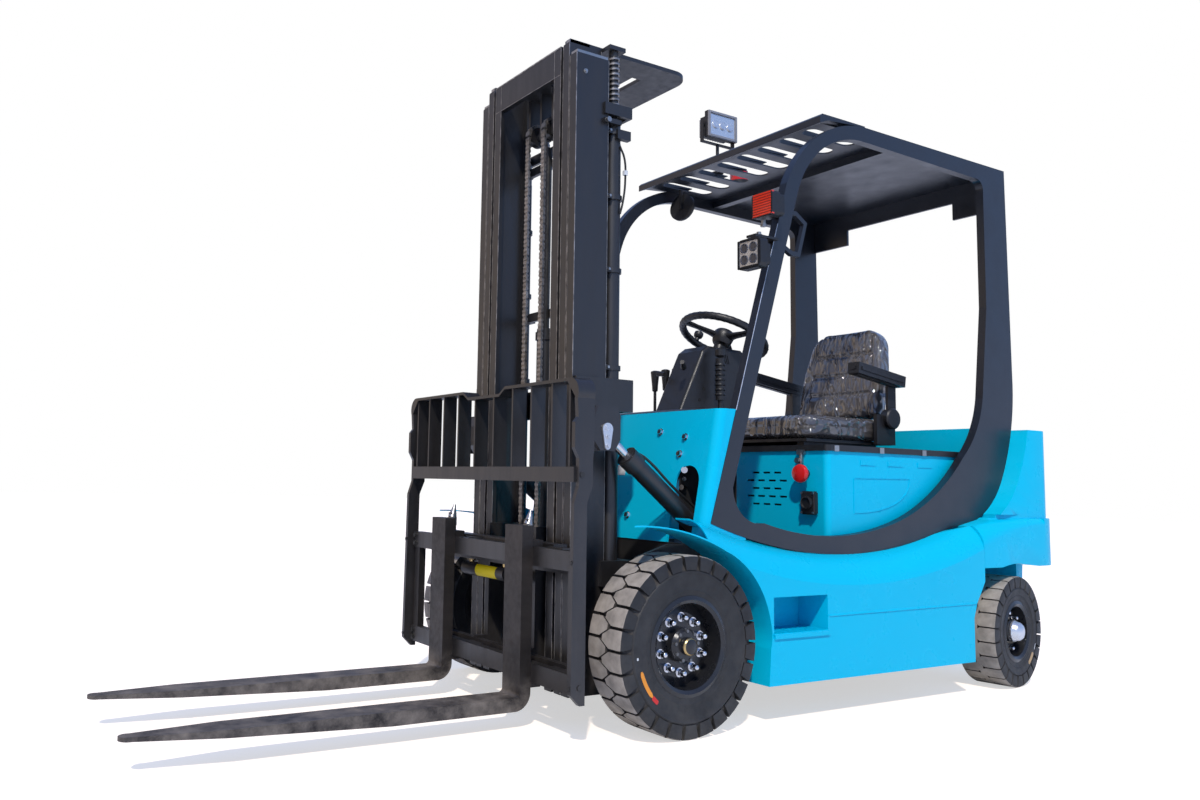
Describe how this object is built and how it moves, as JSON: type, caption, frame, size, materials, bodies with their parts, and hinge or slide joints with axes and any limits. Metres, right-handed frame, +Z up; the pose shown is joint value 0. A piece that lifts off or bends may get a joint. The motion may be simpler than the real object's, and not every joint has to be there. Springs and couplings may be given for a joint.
{
  "type": "electric counterbalance forklift truck",
  "caption": "Four-wheel electric counterbalance forklift with a lifting three-stage mast, side-shifting forks, load backrest, overhead guard and seat over the battery.",
  "frame": {"origin": "centre of the footprint box, on the ground", "axes": "+X towards the fork tips, +Y to the truck's left, +Z up"},
  "size_m": [3.5856, 1.226, 2.3699],
  "materials": {
    "cyan_paint": "glossy paint",
    "frame_black": "satin paint",
    "mast_black": "satin paint",
    "worn_steel": "worn black",
    "chain_steel": "oiled",
    "rod_chrome": "polished",
    "tyre_rubber": "dusty",
    "rim_paint": "gloss black paint",
    "battery_case": "matt",
    "black_plastic": "satin",
    "seat_vinyl": "grey vinyl"
  },
  "bodies": {
    "chassis": {"chassis_frame": "frame_black", "battery_pack": "battery_case", "drive_axle": "frame_black", "steer_axle": "frame_black", "side_skirt_left": "cyan_paint", "side_skirt_right": "cyan_paint", "front_cowl": "cyan_paint", "seat_box": "cyan_paint", "counterweight": "cyan_paint", "tow_pin": "chain_steel", "guard_side_frame_left": "frame_black", "guard_side_frame_right": "frame_black", "guard_roof": "frame_black", "front_lamps": "black_plastic", "roof_lamps": "frame_black", "rear_view_mirror": "black_plastic", "steering_column": "black_plastic", "control_levers": "black_plastic", "panel_fittings": "black_plastic"},
    "lid": {"battery_lid": "black_plastic", "seat_base": "black_plastic", "seat_cushion": "seat_vinyl", "seat_back": "seat_vinyl"},
    "hand_wheel": {"steering_wheel": "black_plastic"},
    "outer_mast": {"mast_outer_stage": "mast_black", "lift_cylinder_barrels": "mast_black"},
    "middle_mast": {"mast_middle_stage": "mast_black", "lift_cylinder_rods": "rod_chrome"},
    "inner_mast": {"mast_inner_stage": "mast_black", "front_chain_runs": "chain_steel", "rear_chain_runs": "chain_steel"},
    "carriage": {"lift_carriage": "mast_black", "sideshift_cylinder": "mast_black"},
    "fork_frame": {"fork_bars": "mast_black", "load_backrest": "mast_black", "fork_left": "worn_steel", "fork_right": "worn_steel"},
    "front_wheel_left": {"front_tyre_left": "tyre_rubber", "front_rim_left": "rim_paint"},
    "rear_wheel_left": {"rear_tyre_left": "tyre_rubber", "rear_rim_left": "rim_paint"},
    "knuckle_left": {"steering_knuckle_left": "frame_black"},
    "tilt_barrel_left": {"tilt_cylinder_barrel_left": "mast_black"},
    "tilt_rod_left": {"tilt_cylinder_rod_left": "rod_chrome"},
    "front_wheel_right": {"front_tyre_right": "tyre_rubber", "front_rim_right": "rim_paint"},
    "rear_wheel_right": {"rear_tyre_right": "tyre_rubber", "rear_rim_right": "rim_paint"},
    "knuckle_right": {"steering_knuckle_right": "frame_black"},
    "tilt_barrel_right": {"tilt_cylinder_barrel_right": "mast_black"},
    "tilt_rod_right": {"tilt_cylinder_rod_right": "rod_chrome"}
  },
  "joints": [
    {"name": "mast_tilt", "type": "hinge", "parent": "chassis", "child": "outer_mast", "pos_m": [0.23925, 0, 0.27], "axis": [0, 1, 0], "range_deg": [-6, 6]},
    {"name": "middle_lift", "type": "slide", "parent": "outer_mast", "child": "middle_mast", "axis": [0, 0, 1], "range_m": [0, 1.45]},
    {"name": "inner_lift", "type": "slide", "parent": "middle_mast", "child": "inner_mast", "axis": [0, 0, 1], "range_m": [0, 1.45], "deforming": ["rear_chain_runs"]},
    {"name": "carriage_lift", "type": "slide", "parent": "inner_mast", "child": "carriage", "axis": [0, 0, 1], "range_m": [0, 1.45], "deforming": ["front_chain_runs"]},
    {"name": "side_shift", "type": "slide", "parent": "carriage", "child": "fork_frame", "axis": [0, 1, 0], "range_m": [-0.075, 0.075]},
    {"name": "lid_hinge", "type": "hinge", "parent": "chassis", "child": "lid", "pos_m": [-1.38875, 0, 0.907], "axis": [0, -1, 0], "range_deg": [0, 60]},
    {"name": "hand_wheel_turn", "type": "hinge", "parent": "chassis", "child": "hand_wheel", "pos_m": [-0.49575, 0, 1.345], "axis": [-0.4226, 0, 0.9063], "continuous": true},
    {"name": "front_wheel_turn_left", "type": "hinge", "parent": "chassis", "child": "front_wheel_left", "pos_m": [0.23925, 0.5355, 0.27], "axis": [0, 1, 0], "continuous": true},
    {"name": "steer_left", "type": "hinge", "parent": "chassis", "child": "knuckle_left", "pos_m": [-1.46475, 0.425, 0.2125], "axis": [0, 0, 1], "range_deg": [-63.6, 46.4]},
    {"name": "rear_wheel_turn_left", "type": "hinge", "parent": "knuckle_left", "child": "rear_wheel_left", "pos_m": [-1.47716, 0.50707, 0.2125], "axis": [-0.1495, 0.9888, 0], "continuous": true},
    {"name": "tilt_barrel_turn_left", "type": "hinge", "parent": "chassis", "child": "tilt_barrel_left", "pos_m": [-0.09075, 0.385, 0.532], "axis": [0, 1, 0], "range_deg": [-6.04, 6.04]},
    {"name": "tilt_rod_slide_left", "type": "slide", "parent": "tilt_barrel_left", "child": "tilt_rod_left", "axis": [0.793, 0, 0.6093], "range_m": [-0.04681, 0.04681]},
    {"name": "front_wheel_turn_right", "type": "hinge", "parent": "chassis", "child": "front_wheel_right", "pos_m": [0.23925, -0.5355, 0.27], "axis": [0, 1, 0], "continuous": true},
    {"name": "steer_right", "type": "hinge", "parent": "chassis", "child": "knuckle_right", "pos_m": [-1.46475, -0.425, 0.2125], "axis": [0, 0, 1], "range_deg": [-63.6, 46.4]},
    {"name": "rear_wheel_turn_right", "type": "hinge", "parent": "knuckle_right", "child": "rear_wheel_right", "pos_m": [-1.45234, -0.50707, 0.2125], "axis": [-0.1495, 0.9888, 0], "continuous": true},
    {"name": "tilt_barrel_turn_right", "type": "hinge", "parent": "chassis", "child": "tilt_barrel_right", "pos_m": [-0.09075, -0.385, 0.532], "axis": [0, 1, 0], "range_deg": [-6.04, 6.04]},
    {"name": "tilt_rod_slide_right", "type": "slide", "parent": "tilt_barrel_right", "child": "tilt_rod_right", "axis": [0.793, 0, 0.6093], "range_m": [-0.04681, 0.04681]}
  ],
  "couplings": [
    {"joint": "inner_lift", "follows": "middle_lift", "ratio": 1},
    {"joint": "carriage_lift", "follows": "middle_lift", "ratio": 1},
    {"joint": "steer_right", "follows": "steer_left", "ratio": 1},
    {"joint": "tilt_barrel_turn_left", "follows": "mast_tilt", "ratio": 0.83976},
    {"joint": "tilt_rod_slide_left", "follows": "mast_tilt", "m_per_rad": 0.40881},
    {"joint": "tilt_barrel_turn_right", "follows": "mast_tilt", "ratio": 0.83976},
    {"joint": "tilt_rod_slide_right", "follows": "mast_tilt", "m_per_rad": 0.40881}
  ]
}
